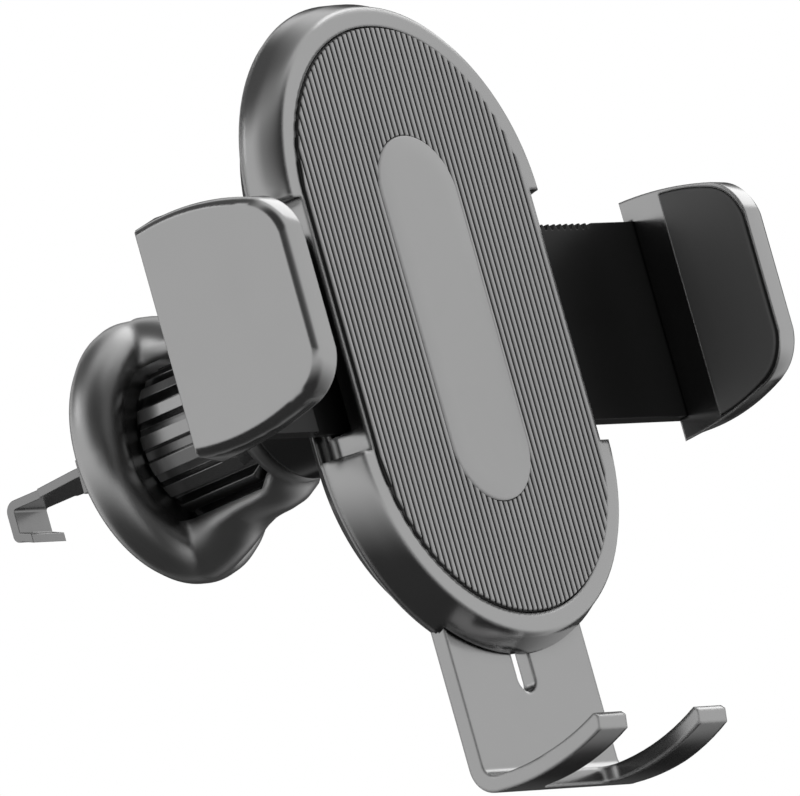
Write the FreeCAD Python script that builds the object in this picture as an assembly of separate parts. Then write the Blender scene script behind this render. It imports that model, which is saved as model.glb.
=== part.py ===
import FreeCAD, Part
import math
import os

from FreeCAD import Vector

# Air vent phone holder, in millimetres.
# The origin is the centre of the clip's rear face, where the clip rests on the air vent.
# +Y points into the vent, +Z is up and the phone leans on the head's front, which faces -Y.
# Head pieces are drawn in the head's own frame: Y = 0 is the front of the rim and Z = 0 the
# middle of the head. place_head() then carries them to their place in front of the vent.

# Where the head stands in front of the vent
HEAD_TO_VENT = 53.2
HEAD_LIFT = 1.3

# Head outline: a stadium that stands upright
HEAD_HALF_WIDTH = 26.0
HEAD_HALF_LENGTH = 42.9
RIM_FLARE = 1.85
RIM_ROUND = 0.35
LIP_DEPTH = 1.2
PARTING_DEPTH = 5.3
COVER_WALL = 2.7
FLANK_BULGE = 0.35
LEDGE_STEP = 2.1
REAR_SLOPE = 3.35

# Grip pad in the front cover
RIM_WIDTH = 2.8
PAD_RECESS = 0.9
RIB_PROUD = 0.5
RIB_DEPTH = 0.45
RIB_PITCH = 1.03
RIB_WIDTH = 0.62
PANEL_HALF_WIDTH = 7.8
PANEL_HALF_LENGTH = 24.9
PANEL_PROUD = 0.7

# Pockets in the head's sides, where the arms come out
POCKET_RIM = 0.7
POCKET_HALF_HEIGHT = 17.2
POCKET_REAR = 7.4
POCKET_WALL = 1.0

# Layers inside the head, from the front to the back
PLATE_THICKNESS = 1.5
ARM_FRONT_GAP = 1.0
ARM_THICKNESS = 2.4
LAYER_GAP = 0.4
FORK_THICKNESS = 2.0
FLOOR_THICKNESS = 1.8

# Clearances
SLIDE_GAP = 0.2
SHAFT_GAP = 0.05
TONGUE_GAP = 0.2
SEAT_GAP = 0.3
GLUE_GAP = 0.1
EDGE_SPARE = 0.01

# Gear train: the foot's racks turn the pinions, and their large gears draw the arms in
MODULE = 1.25 / 3
PRESSURE_ANGLE = 25.0
SMALL_TEETH = 13
LARGE_TEETH = 26
ADDENDUM_SHARE = 0.8
DEDENDUM_SHARE = 1.1
BACKLASH = 0.12
PINION_PIN_RADIUS = 1.2
PINION_HUB_RADIUS = 2.1
PIN_SEAT_DEPTH = 0.8
PIN_BOSS_HEIGHT = 0.15

# Foot, which the phone stands on
FOOT_TRAVEL = 9.0
FOOT_SIDE_SET = 11.8
FOOT_FRONT = 4.1
FOOT_THICKNESS = 2.2
FOOT_BELOW_HEAD = 20.1
FOOT_TOE_REACH = 15.4
FOOT_TOE_RISE = 2.8
HEEL_RADIUS = 4.0
TOE_THICKNESS = 2.3
TOE_TAPER = 0.8
TOE_TAPER_LENGTH = 9.0
FINGER_WIDTH = 6.6
FINGER_ROOT = 1.3
FINGER_ROOT_RADIUS = 2.0
GUIDE_SLOT_WIDTH = 3.8
GUIDE_SLOT_BELOW_POST = 11.3
GUIDE_SLOT_SPARE = 1.6
GUIDE_POST_RADIUS = 1.6
GUIDE_POST_SET = 4.7
CROSSBAR_GAP = 1.0
CROSSBAR_SET = 1.2
PRONG_WIDTH = 2.53
PRONG_ABOVE_PINION = 2.67

# Arms and jaws
ARM_HALF_HEIGHT = 13.45
ARM_SLOT_GAP = 0.3
TONGUE_REACH = 10.8
TONGUE_STEP_GAP = 0.4
RACK_END = 38.2
JAW_LEAN = 5.35
JAW_INNER_AT_REAR = 48.65
JAW_THICKNESS = 3.9
JAW_REAR = 6.6
JAW_DEPTH = 22.7
JAW_REAR_HEIGHT = 15.5
JAW_WAIST_DEPTH = 8.8
JAW_WAIST_HEIGHT = 15.9
JAW_NOSE_DEPTH = 18.3
JAW_NOSE_HEIGHT = 13.8
JAW_TIP_HEIGHT = 8.2
JAW_CORNER_BULGE = 0.95
JAW_EDGE_ROUND = 1.2
JAW_INNER_STEP = 1.7
JAW_INNER_RISE = 1.0
JAW_RIM_WALL = 0.6
JAW_TENON = 1.85
JAW_PAD_THICKNESS = 1.6
JAW_PAD_PROUD = 0.3
JAW_PAD_REAR = 9.0

# Return springs beside the middle of the head
SPRING_X = 4.4
SPRING_RADIUS = 1.1
SPRING_WIRE = 0.35
SPRING_POST_Z = 13.5
SPRING_POST_RADIUS = 0.7

# Cover screws, driven from behind
BOSS_RADIUS = 2.4
BOSS_ANGLE = 25.0
SCREW_EDGE = 0.7
SCREW_SHANK_RADIUS = 0.95
SCREW_HEAD_RADIUS = 1.8
SCREW_HEAD_THICKNESS = 1.0
SCREW_SINK = 0.2
DRIVE_RADIUS = 0.8
DRIVE_DEPTH = 0.6

# Ball stud on the head's back
BALL_RADIUS = 7.0
BALL_TO_VENT = 31.7
STEM_RADIUS = 3.2
FLANGE_RADIUS = 6.0
FLANGE_THICKNESS = 2.1
FLANGE_STEP = 1.0
STUD_SCREW_RADIUS = 1.5
STUD_SCREW_LENGTH = 7.0
STUD_SCREW_HEAD_RADIUS = 2.5
STUD_SCREW_HEAD_THICKNESS = 1.7
COLLAR_RADIUS = 8.6
COLLAR_HEIGHT = 0.8

# Ball socket: a split liner in the clip's neck and the nut that closes on it
SEAT_WALL = 1.2
SEAT_REAR_WALL = 0.8
SEAT_SLOTS = 6
SEAT_SLOT_WIDTH = 0.8
NECK_WALL = 1.3
NECK_PAST_BALL = 0.9
NECK_LENGTH = 8.3
NUT_WALL = 1.35
NUT_PAST_BALL = 4.5
NUT_LENGTH = 11.4
NUT_MOUTH_RADIUS = 5.9
NUT_NOSE = 2.4

# Clip body: a neck, two straps and the ring that rests on the vent
RING_RADIUS = 18.07
RING_HOLE_RADIUS = 12.0
RING_FRONT = 4.4
RING_EDGE_RADIUS = 15.8
RING_EDGE_ROUND = 0.87
RING_EDGE_DEPTH = 1.0
RING_BELT = 2.7
RING_STATIONS = 7
STRAP_HALF_WIDTH = 5.3
STRAP_SIDE_WALL = 1.7
STRAP_SIDE_STEP = 0.5
STRAP_FLARE_START = 7.5
STRAP_FLARE_RADIUS = 3.0
STRAP_STATIONS = 12
STRAP_SHOULDER = 1.3
STRAP_SHOULDER_LENGTH = 3.4
STRAP_WALL = 2.2
STRAP_LENGTH = 9.2
RING_WAIST_STEP = 2.9
RING_WAIST_LENGTH = 7.2
RING_BULGE_STEP = 1.3
RING_BULGE_LENGTH = 4.3
WINDOW_PAST_KNOB = 1.5
WINDOW_REAR = 5.9
SOCKET_WALL = 1.6
KNOB_SPACE_RADIUS = 11.9
WEB_SINK = 0.3
KNOB_SPACE_CHAMFER = 2.2
WEB_THICKNESS = 1.2

# Tightening knob
KNOB_RADIUS = 10.5
KNOB_RIBS = 18
KNOB_RIB_HEIGHT = 1.5
KNOB_RIB_SHARE = 0.5
KNOB_RIB_DRAFT = 1.25
KNOB_END_GAP = 0.3

# Louvre hook and its threaded stem
HOOK_TRAVEL = 8.0
STEM_THREAD_RADIUS = 2.4
STEM_FLAT = 1.7
YOKE_HALF_WIDTH = 6.0
YOKE_HALF_HEIGHT = 2.0
YOKE_LENGTH = 4.0
HOOK_REACH = 23.2
HOOK_TOP = 1.6
HOOK_THICKNESS = 1.2
HOOK_WIDE = 11.6
HOOK_NARROW = 6.8
HOOK_SHOULDER = 8.8
HOOK_STEP = 16.8
HOOK_DROP = 5.6
HOOK_LIP = 1.8
HOOK_LIP_FALL = 0.7
HOOK_BEND = 1.6

# Rubber ring on the rear face
VENT_PAD_INNER = 12.8
VENT_PAD_OUTER = 15.2
VENT_PAD_THICKNESS = 1.2
VENT_PAD_PROUD = 0.4

# Worked out from the sizes above: the head's outline and layers
STRAIGHT = HEAD_HALF_LENGTH - HEAD_HALF_WIDTH
FLANK_RADIUS = HEAD_HALF_WIDTH + RIM_FLARE
INNER_RADIUS = FLANK_RADIUS - COVER_WALL
PAD_RADIUS = HEAD_HALF_WIDTH - RIM_WIDTH
POCKET_FACE = PAD_RADIUS + POCKET_RIM
POCKET_INNER = POCKET_FACE - POCKET_WALL
PLATE_REAR = PAD_RECESS + PLATE_THICKNESS
ARM_FRONT = PLATE_REAR + ARM_FRONT_GAP
ARM_REAR = ARM_FRONT + ARM_THICKNESS
FORK_FRONT = ARM_REAR + LAYER_GAP
FORK_REAR = FORK_FRONT + FORK_THICKNESS
FLOOR_FRONT = FORK_REAR + LAYER_GAP
HEAD_REAR = FLOOR_FRONT + FLOOR_THICKNESS
LEDGE_RADIUS = FLANK_RADIUS - LEDGE_STEP
REAR_FLAT_RADIUS = LEDGE_RADIUS - REAR_SLOPE

# Worked out: the gear train
TOOTH_PITCH = math.pi * MODULE
ADDENDUM = ADDENDUM_SHARE * MODULE
DEDENDUM = DEDENDUM_SHARE * MODULE
SMALL_RADIUS = SMALL_TEETH * MODULE / 2
LARGE_RADIUS = LARGE_TEETH * MODULE / 2
ARM_TRAVEL = FOOT_TRAVEL * LARGE_TEETH / SMALL_TEETH
FOOT_HALF_WIDTH = HEAD_HALF_WIDTH - FOOT_SIDE_SET
PRONG_INNER = FOOT_HALF_WIDTH - PRONG_WIDTH
FOOT_RACK_LINE = PRONG_INNER + ADDENDUM
ARM_RACK_LINE = ARM_HALF_HEIGHT - ADDENDUM
PINION_X = FOOT_RACK_LINE - SMALL_RADIUS
PINION_Z = ARM_RACK_LINE + LARGE_RADIUS
PINION_BORE = PINION_PIN_RADIUS + SHAFT_GAP

# Worked out: arms and jaws
TONGUE_TIP = ARM_TRAVEL - TONGUE_REACH
TONGUE_ROOT = ARM_TRAVEL + TONGUE_REACH + TONGUE_STEP_GAP
TONGUE_THICKNESS = (ARM_THICKNESS - TONGUE_GAP) / 2
ARM_END = JAW_INNER_AT_REAR + JAW_TENON

# Worked out: foot
FOOT_REAR = FOOT_FRONT + FOOT_THICKNESS
FOOT_HEEL = HEAD_HALF_LENGTH + FOOT_BELOW_HEAD
FOOT_SOLE_TOP = FOOT_HEEL - FOOT_THICKNESS
INNER_HEEL_RADIUS = HEEL_RADIUS - FOOT_THICKNESS
GUIDE_POST_DROP = HEAD_HALF_LENGTH - GUIDE_POST_SET
GUIDE_SLOT_BOTTOM = GUIDE_POST_DROP + GUIDE_SLOT_BELOW_POST
GUIDE_SLOT_TOP = GUIDE_POST_DROP - FOOT_TRAVEL - GUIDE_POST_RADIUS - GUIDE_SLOT_SPARE
CROSSBAR_TOP = ARM_HALF_HEIGHT + CROSSBAR_GAP
CROSSBAR_BOTTOM = GUIDE_SLOT_TOP - CROSSBAR_SET
PRONG_TOP = PINION_Z + FOOT_TRAVEL + PRONG_ABOVE_PINION

# Worked out: ball joint and clip, measured along the clip's axis from the vent face
BALL_Y = -BALL_TO_VENT
SEAT_INNER = BALL_RADIUS + SHAFT_GAP
SEAT_OUTER = SEAT_INNER + SEAT_WALL
NECK_INNER = SEAT_OUTER + SHAFT_GAP
NECK_RADIUS = NECK_INNER + NECK_WALL
NECK_FRONT = BALL_TO_VENT + NECK_PAST_BALL
NECK_REAR = NECK_FRONT - NECK_LENGTH
NUT_FRONT = BALL_TO_VENT + NUT_PAST_BALL
NUT_REAR = NUT_FRONT - NUT_LENGTH
NUT_INNER = NECK_RADIUS + SHAFT_GAP
NUT_RADIUS = NUT_INNER + NUT_WALL
SEAT_REAR = BALL_Y + SEAT_INNER + SEAT_REAR_WALL
SOCKET_FLOOR = SEAT_REAR + SHAFT_GAP
KNOB_SPACE_FRONT = -SOCKET_FLOOR - SOCKET_WALL
KNOB_SPACE_REAR = WINDOW_REAR - WEB_SINK
WINDOW_FRONT = KNOB_SPACE_FRONT + WINDOW_PAST_KNOB
RING_REAR = -VENT_PAD_PROUD
STEM_FRONT = HOOK_TRAVEL - KNOB_SPACE_FRONT + 2 * KNOB_END_GAP
YOKE_FRONT = HOOK_TRAVEL - KNOB_SPACE_REAR + WEB_THICKNESS + SEAT_GAP
YOKE_REAR = YOKE_FRONT + YOKE_LENGTH


# Shapes that many pieces share

def box(x_low, x_high, y_low, y_high, z_low, z_high):
    size = Vector(x_high - x_low, y_high - y_low, z_high - z_low)
    return Part.makeBox(size.x, size.y, size.z, Vector(x_low, y_low, z_low))


def mirrored_boxes(x_low, x_high, y_low, y_high, z_low, z_high):
    """The same box on the right and on the left."""
    right = box(x_low, x_high, y_low, y_high, z_low, z_high)
    left = box(-x_high, -x_low, y_low, y_high, z_low, z_high)
    return Part.makeCompound([right, left])


def rod(radius, y_low, y_high, x=0.0, z=0.0):
    """A round rod along Y."""
    return Part.makeCylinder(radius, y_high - y_low, Vector(x, y_low, z), Vector(0, 1, 0))


def mirror_x(shape):
    return shape.mirror(Vector(0, 0, 0), Vector(1, 0, 0))


def outline(items):
    """A closed wire through points; a point after the word "arc" is the middle of an arc."""
    edges = []
    start = items[0]
    position = 1
    while position <= len(items):
        item = items[position % len(items)]
        if item == "arc":
            middle = items[position + 1]
            end = items[(position + 2) % len(items)]
            edges.append(Part.Arc(start, middle, end).toShape())
            position += 3
        else:
            end = item
            edges.append(Part.LineSegment(start, end).toShape())
            position += 1
        start = end
    return Part.Wire(edges)


def polygon(points):
    return Part.makePolygon(points + [points[0]])


def half_profile(items):
    """A profile of (radius, y) pairs, as a face in the plane Z = 0."""
    return Part.Face(outline([i if i == "arc" else Vector(i[0], i[1], 0) for i in items]))


def turned(items):
    """A profile of (radius, y) pairs turned round the Y axis."""
    return half_profile(items).revolve(Vector(0, 0, 0), Vector(0, 1, 0), 360)


def stadium_sweep(items):
    """A profile of (radius, y) pairs carried round the head's stadium outline."""
    face = half_profile(items)
    opposite = mirror_x(face)
    right = face.copy()
    right.translate(Vector(0, 0, -STRAIGHT))
    opposite.translate(Vector(0, 0, -STRAIGHT))
    straight_right = right.extrude(Vector(0, 0, 2 * STRAIGHT))
    straight_left = opposite.extrude(Vector(0, 0, 2 * STRAIGHT))
    top = face.revolve(Vector(0, 0, 0), Vector(0, 1, 0), -180)
    top.translate(Vector(0, 0, STRAIGHT))
    bottom = face.revolve(Vector(0, 0, 0), Vector(0, 1, 0), 180)
    bottom.translate(Vector(0, 0, -STRAIGHT))
    return straight_right.fuse([straight_left, top, bottom]).removeSplitter()


def upright_slot(half_width, z_low, z_high, y_low, y_high):
    """A prism along Y with round ends at its top and bottom."""
    left, right = -half_width, half_width
    wire = outline([
        Vector(left, y_low, z_low + half_width),
        "arc", Vector(0, y_low, z_low), Vector(right, y_low, z_low + half_width),
        Vector(right, y_low, z_high - half_width),
        "arc", Vector(0, y_low, z_high), Vector(left, y_low, z_high - half_width),
    ])
    return Part.Face(wire).extrude(Vector(0, y_high - y_low, 0))


def place_head(shape):
    moved = shape.copy()
    moved.translate(Vector(0, -HEAD_TO_VENT, HEAD_LIFT))
    return moved


def screw_places():
    """The four cover screws, at the ends of the head's cavity."""
    orbit = REAR_FLAT_RADIUS - SCREW_HEAD_RADIUS - SCREW_EDGE
    across = orbit * math.cos(math.radians(BOSS_ANGLE))
    along = STRAIGHT + orbit * math.sin(math.radians(BOSS_ANGLE))
    return [(x, z) for x in (-across, across) for z in (-along, along)]


# Gear teeth

def involute(angle):
    return math.tan(angle) - angle


def tooth_half_angle(radius, pitch_radius, teeth):
    """Half the angle that a gear tooth fills at a radius."""
    pressure = math.radians(PRESSURE_ANGLE)
    base_radius = pitch_radius * math.cos(pressure)
    local = math.acos(min(1.0, base_radius / radius))
    at_pitch = math.pi / (2 * teeth) - BACKLASH / (4 * pitch_radius)
    return at_pitch + involute(pressure) - involute(local)


def gear(teeth, y_low, y_high, space_angle):
    """A spur gear about Y; one tooth space is centred on space_angle, from +X towards +Z."""
    pitch_radius = teeth * MODULE / 2
    base_radius = pitch_radius * math.cos(math.radians(PRESSURE_ANGLE))
    root_radius = pitch_radius - DEDENDUM
    tip_radius = pitch_radius + ADDENDUM
    flank_start = max(root_radius, base_radius)
    flank = [flank_start, (flank_start + tip_radius) / 2, tip_radius]
    half_angles = [tooth_half_angle(r, pitch_radius, teeth) for r in flank]
    if root_radius < base_radius:
        flank.insert(0, root_radius)
        half_angles.insert(0, half_angles[0])
    rising = list(zip(flank, [-a for a in half_angles]))
    falling = list(zip(reversed(flank), reversed(half_angles)))
    points = []
    for tooth in range(teeth):
        centre = math.radians(space_angle) + (tooth + 0.5) * 2 * math.pi / teeth
        for radius, offset in rising + falling:
            angle = centre + offset
            points.append(Vector(radius * math.cos(angle), y_low, radius * math.sin(angle)))
    return Part.Face(polygon(points)).extrude(Vector(0, y_high - y_low, 0))


def rack_points(first, last):
    """(along, height) points of rack teeth; tooth 0 is centred on 0 and height 0 is the pitch line."""
    slope = math.tan(math.radians(PRESSURE_ANGLE))
    at_pitch = TOOTH_PITCH / 4 - BACKLASH / 4
    tip = at_pitch - ADDENDUM * slope
    root = at_pitch + DEDENDUM * slope
    points = []
    for tooth in range(first, last + 1):
        centre = tooth * TOOTH_PITCH
        points.append((centre - root, -DEDENDUM))
        points.append((centre - tip, ADDENDUM))
        points.append((centre + tip, ADDENDUM))
        points.append((centre + root, -DEDENDUM))
    return points


# Head covers and pad

def pocket_cut(rear):
    """What the two side pockets take out of the covers."""
    outside = 2 * HEAD_HALF_WIDTH
    height = POCKET_HALF_HEIGHT
    return mirrored_boxes(POCKET_FACE, outside, -POCKET_REAR, rear, -height, height)


def pocket_backing(y_low, y_high):
    """The wall that closes the head's cavity behind each pocket."""
    height = POCKET_HALF_HEIGHT + POCKET_WALL
    outer = INNER_RADIUS + POCKET_WALL
    return mirrored_boxes(POCKET_INNER, outer, y_low, y_high, -height, height)


def arm_slot():
    """The two slots that the arms slide through."""
    height = ARM_HALF_HEIGHT + ARM_SLOT_GAP
    outside = 2 * HEAD_HALF_WIDTH
    inner, rear = POCKET_INNER - SEAT_GAP, ARM_REAR + SLIDE_GAP
    return mirrored_boxes(inner, outside, PLATE_REAR, rear, -height, height)


def foot_slot():
    """The slot in the head's lower end that the foot slides through."""
    width = FOOT_HALF_WIDTH + SEAT_GAP
    front = FOOT_FRONT - SEAT_GAP
    rear = FOOT_REAR + SEAT_GAP
    return box(-width, width, front, rear, -2 * HEAD_HALF_LENGTH, GUIDE_POST_RADIUS - GUIDE_POST_DROP)


def front_cover():
    """Front cover: the rim, the plate behind the pad and the flared flank."""
    flank = PARTING_DEPTH - LIP_DEPTH
    outside = stadium_sweep([
        (0, PAD_RECESS), (PAD_RADIUS, PAD_RECESS), (PAD_RADIUS, 0),
        (HEAD_HALF_WIDTH - RIM_ROUND, 0), (HEAD_HALF_WIDTH, RIM_ROUND),
        (HEAD_HALF_WIDTH + RIM_ROUND, LIP_DEPTH),
        (HEAD_HALF_WIDTH + RIM_FLARE / 2 + RIM_ROUND / 2, LIP_DEPTH + flank / 3),
        (FLANK_RADIUS - RIM_ROUND, LIP_DEPTH + 2 * flank / 3),
        (FLANK_RADIUS, PARTING_DEPTH),
        (0, PARTING_DEPTH),
    ])
    cavity = stadium_sweep([
        (0, PLATE_REAR), (INNER_RADIUS, PLATE_REAR), (INNER_RADIUS, PARTING_DEPTH), (0, PARTING_DEPTH),
    ])
    cover = outside.cut(cavity.cut(pocket_backing(PLATE_REAR, PARTING_DEPTH)))
    cover = cover.cut([pocket_cut(PARTING_DEPTH), arm_slot(), foot_slot()])

    # Ribs that guide the arms, bosses for the cover screws and the post in the foot's slot
    rib_reach = POCKET_INNER
    rib_low, rib_high = ARM_HALF_HEIGHT - 2 * POCKET_WALL, ARM_HALF_HEIGHT - POCKET_WALL
    rib_rear = ARM_FRONT - SLIDE_GAP
    added = [box(-rib_reach, rib_reach, PLATE_REAR, rib_rear, -rib_high, -rib_low)]
    added.append(box(-rib_reach, rib_reach, PLATE_REAR, rib_rear, rib_low, rib_high))
    added.append(rod(GUIDE_POST_RADIUS, PLATE_REAR, FOOT_REAR + SLIDE_GAP, z=-GUIDE_POST_DROP))
    added += [rod(BOSS_RADIUS, PLATE_REAR, PARTING_DEPTH, x, z) for x, z in screw_places()]
    for side in (-1, 1):
        boss = rod(PINION_HUB_RADIUS, PLATE_REAR, PLATE_REAR + PIN_BOSS_HEIGHT, side * PINION_X, PINION_Z)
        added.append(boss)
    cover = cover.fuse(added)

    holes = [rod(SCREW_SHANK_RADIUS + SHAFT_GAP, PLATE_REAR, HEAD_REAR, x, z) for x, z in screw_places()]
    for side in (-1, 1):
        pin_hole = rod(PINION_BORE, PLATE_REAR - PIN_SEAT_DEPTH, HEAD_REAR, side * PINION_X, PINION_Z)
        holes.append(pin_hole)
    return cover.cut(holes).removeSplitter()


def rear_cover():
    """Rear cover: a shallow tray that turns in to the back of the head."""
    ledge_middle = PARTING_DEPTH + FLANK_BULGE * (POCKET_REAR - PARTING_DEPTH)
    outside = stadium_sweep([
        (0, PARTING_DEPTH), (FLANK_RADIUS - RIM_ROUND / 2, PARTING_DEPTH),
        (FLANK_RADIUS - FLANK_BULGE, ledge_middle), (LEDGE_RADIUS, POCKET_REAR),
        (REAR_FLAT_RADIUS + RIM_ROUND, HEAD_REAR - RIM_ROUND / 2), (REAR_FLAT_RADIUS, HEAD_REAR),
        (0, HEAD_REAR),
    ])
    cavity_rear = REAR_FLAT_RADIUS
    cavity = stadium_sweep([
        (0, PARTING_DEPTH), (INNER_RADIUS, PARTING_DEPTH), (cavity_rear + POCKET_WALL, POCKET_REAR),
        (cavity_rear, FLOOR_FRONT), (0, FLOOR_FRONT),
    ])
    cover = outside.cut(cavity.cut(pocket_backing(PARTING_DEPTH, FLOOR_FRONT)))
    cover = cover.cut([pocket_cut(POCKET_REAR), arm_slot(), foot_slot()])

    # Collar round the ball stud, screw bosses, spring posts and pinion bosses
    stud_drop = -HEAD_LIFT
    added = [rod(COLLAR_RADIUS, HEAD_REAR, HEAD_REAR + COLLAR_HEIGHT, z=stud_drop)]
    added += [rod(BOSS_RADIUS, PARTING_DEPTH, FLOOR_FRONT, x, z) for x, z in screw_places()]
    for side in (-1, 1):
        post = rod(SPRING_POST_RADIUS, FORK_FRONT, FLOOR_FRONT, side * SPRING_X, SPRING_POST_Z)
        boss_front = FLOOR_FRONT - PIN_BOSS_HEIGHT
        boss = rod(PINION_HUB_RADIUS, boss_front, FLOOR_FRONT, side * PINION_X, PINION_Z)
        added += [post, boss]
    cover = cover.fuse(added)

    head_space = SCREW_HEAD_RADIUS + SHAFT_GAP
    seat_depth = HEAD_REAR - SCREW_SINK - SCREW_HEAD_THICKNESS
    holes = [rod(FLANGE_RADIUS + GLUE_GAP, HEAD_REAR, HEAD_REAR + COLLAR_HEIGHT, z=stud_drop)]
    holes.append(rod(STUD_SCREW_RADIUS + SHAFT_GAP, FLOOR_FRONT, HEAD_REAR, z=stud_drop))
    for x, z in screw_places():
        holes.append(rod(SCREW_SHANK_RADIUS + SHAFT_GAP, PARTING_DEPTH, HEAD_REAR, x, z))
        holes.append(rod(head_space, seat_depth, HEAD_REAR, x, z))
    for side in (-1, 1):
        pin_hole = rod(PINION_BORE, FORK_FRONT, FLOOR_FRONT + PIN_SEAT_DEPTH, side * PINION_X, PINION_Z)
        holes.append(pin_hole)
    return cover.cut(holes).removeSplitter()


def grip_pad():
    """Ribbed rubber pad with a smooth upright panel in its middle."""
    rib_front = -RIB_PROUD
    pad_radius = PAD_RADIUS - GLUE_GAP
    straight = HEAD_HALF_LENGTH - HEAD_HALF_WIDTH
    pad = upright_slot(pad_radius, -straight - pad_radius, straight + pad_radius, rib_front, PAD_RECESS)
    count = int(2 * pad_radius / RIB_PITCH)
    groove_half = (RIB_PITCH - RIB_WIDTH) / 2
    floor = rib_front + RIB_DEPTH
    grooves = []
    for number in range(count + 1):
        x = (number - count / 2) * RIB_PITCH
        tall = HEAD_HALF_LENGTH
        grooves.append(box(x - groove_half, x + groove_half, 2 * rib_front, floor, -tall, tall))
    pad = pad.cut(Part.makeCompound(grooves))
    panel = upright_slot(PANEL_HALF_WIDTH, -PANEL_HALF_LENGTH, PANEL_HALF_LENGTH, -PANEL_PROUD, PAD_RECESS)
    return pad.fuse(panel).removeSplitter()


def cover_screws():
    """Four pan head screws with a cross drive, driven in from behind."""
    head_rear = HEAD_REAR - SCREW_SINK
    head_front = head_rear - SCREW_HEAD_THICKNESS
    tip = PLATE_REAR + SEAT_GAP
    drive_front = head_rear - DRIVE_DEPTH
    half = DRIVE_RADIUS / 4
    screws = []
    for x, z in screw_places():
        head = rod(SCREW_HEAD_RADIUS, head_front, head_rear, x, z)
        shank = rod(SCREW_SHANK_RADIUS, tip, head_front, x, z)
        cross = [box(x - DRIVE_RADIUS, x + DRIVE_RADIUS, drive_front, HEAD_REAR, z - half, z + half)]
        cross.append(box(x - half, x + half, drive_front, HEAD_REAR, z - DRIVE_RADIUS, z + DRIVE_RADIUS))
        screws.append(head.fuse(shank).cut(cross).removeSplitter())
    return Part.makeCompound(screws)


# Gear train in the head

def pinion(side):
    """Compound pinion: its small gear meets the foot's rack, its large gear the arm's rack."""
    tongue_front = ARM_FRONT if side > 0 else ARM_REAR - TONGUE_THICKNESS
    large_low = tongue_front + SHAFT_GAP
    large_high = tongue_front + TONGUE_THICKNESS - SHAFT_GAP
    small = gear(SMALL_TEETH, FORK_FRONT, FORK_REAR, 0 if side > 0 else 180)
    large = gear(LARGE_TEETH, large_low, large_high, 270)
    hub_front = PLATE_REAR + PIN_BOSS_HEIGHT + SLIDE_GAP
    hub_rear = FLOOR_FRONT - PIN_BOSS_HEIGHT - SHAFT_GAP
    hub = rod(PINION_HUB_RADIUS, hub_front, hub_rear)
    bore = rod(PINION_BORE, hub_front, hub_rear)
    shape = large.fuse([small, hub]).cut(bore).removeSplitter()
    shape.translate(Vector(side * PINION_X, 0, PINION_Z))
    return shape


def pinion_pin(side):
    seat_front = PLATE_REAR - PIN_SEAT_DEPTH
    seat_rear = FLOOR_FRONT + PIN_SEAT_DEPTH
    return rod(PINION_PIN_RADIUS, seat_front, seat_rear, side * PINION_X, PINION_Z)


def return_spring(side):
    """Extension spring, drawn as the tube that its coils fill."""
    top = SPRING_POST_Z - SPRING_POST_RADIUS - SHAFT_GAP
    bottom = SHAFT_GAP - CROSSBAR_TOP
    middle = (FORK_FRONT + FORK_REAR) / 2
    start = Vector(side * SPRING_X, middle, bottom)
    coil = Part.makeCylinder(SPRING_RADIUS, top - bottom, start, Vector(0, 0, 1))
    core = Part.makeCylinder(SPRING_RADIUS - SPRING_WIRE, top - bottom, start, Vector(0, 0, 1))
    coil.translate(Vector(0, LAYER_GAP / 4, 0))
    core.translate(Vector(0, LAYER_GAP / 4, 0))
    return coil.cut(core)


# Arms and jaws

def jaw_outline(x, inset=0.0, step=0.0, rise=0.0):
    """The jaw's outline at a depth x from its inner face; Y = 0 is its rear edge."""
    corner_y = (JAW_NOSE_DEPTH + JAW_DEPTH) / 2
    corner_z = (JAW_NOSE_HEIGHT + JAW_TIP_HEIGHT) / 2
    along = JAW_DEPTH - JAW_NOSE_DEPTH
    down = JAW_NOSE_HEIGHT - JAW_TIP_HEIGHT
    chord = math.hypot(along, down)
    bulge_y = corner_y + JAW_CORNER_BULGE * down / chord - inset
    bulge_z = corner_z + JAW_CORNER_BULGE * along / chord - inset / 2
    front = JAW_DEPTH - inset
    nose = JAW_NOSE_DEPTH - inset / 2
    rear_y = inset / 2 + step
    rear_z = JAW_REAR_HEIGHT - inset + rise
    return outline([
        Vector(x, -rear_y, -rear_z), Vector(x, -rear_y, rear_z),
        "arc", Vector(x, -JAW_WAIST_DEPTH, JAW_WAIST_HEIGHT - inset),
        Vector(x, -nose, JAW_NOSE_HEIGHT - inset),
        "arc", Vector(x, -bulge_y, bulge_z), Vector(x, -front, JAW_TIP_HEIGHT - inset / 2),
        Vector(x, -front, inset / 2 - JAW_TIP_HEIGHT),
        "arc", Vector(x, -bulge_y, -bulge_z), Vector(x, -nose, inset - JAW_NOSE_HEIGHT),
        "arc", Vector(x, -JAW_WAIST_DEPTH, inset - JAW_WAIST_HEIGHT),
    ])


def jaw_lining(inset, rear):
    """The pad's shape, or the room for it, behind the phone-side face of the jaw."""
    block = Part.Face(jaw_outline(-JAW_PAD_PROUD, inset)).extrude(Vector(JAW_PAD_THICKNESS, 0, 0))
    tall = 2 * JAW_REAR_HEIGHT
    return block.cut(box(-JAW_THICKNESS, JAW_THICKNESS, -rear, JAW_DEPTH, -tall, tall))


def place_jaw(shape):
    """From the jaw's own frame to its place on the right: leaning in towards its front."""
    placed = shape.copy()
    placed.rotate(Vector(0, 0, 0), Vector(0, 0, 1), -JAW_LEAN)
    placed.translate(Vector(JAW_INNER_AT_REAR, JAW_REAR, 0))
    return placed


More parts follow.
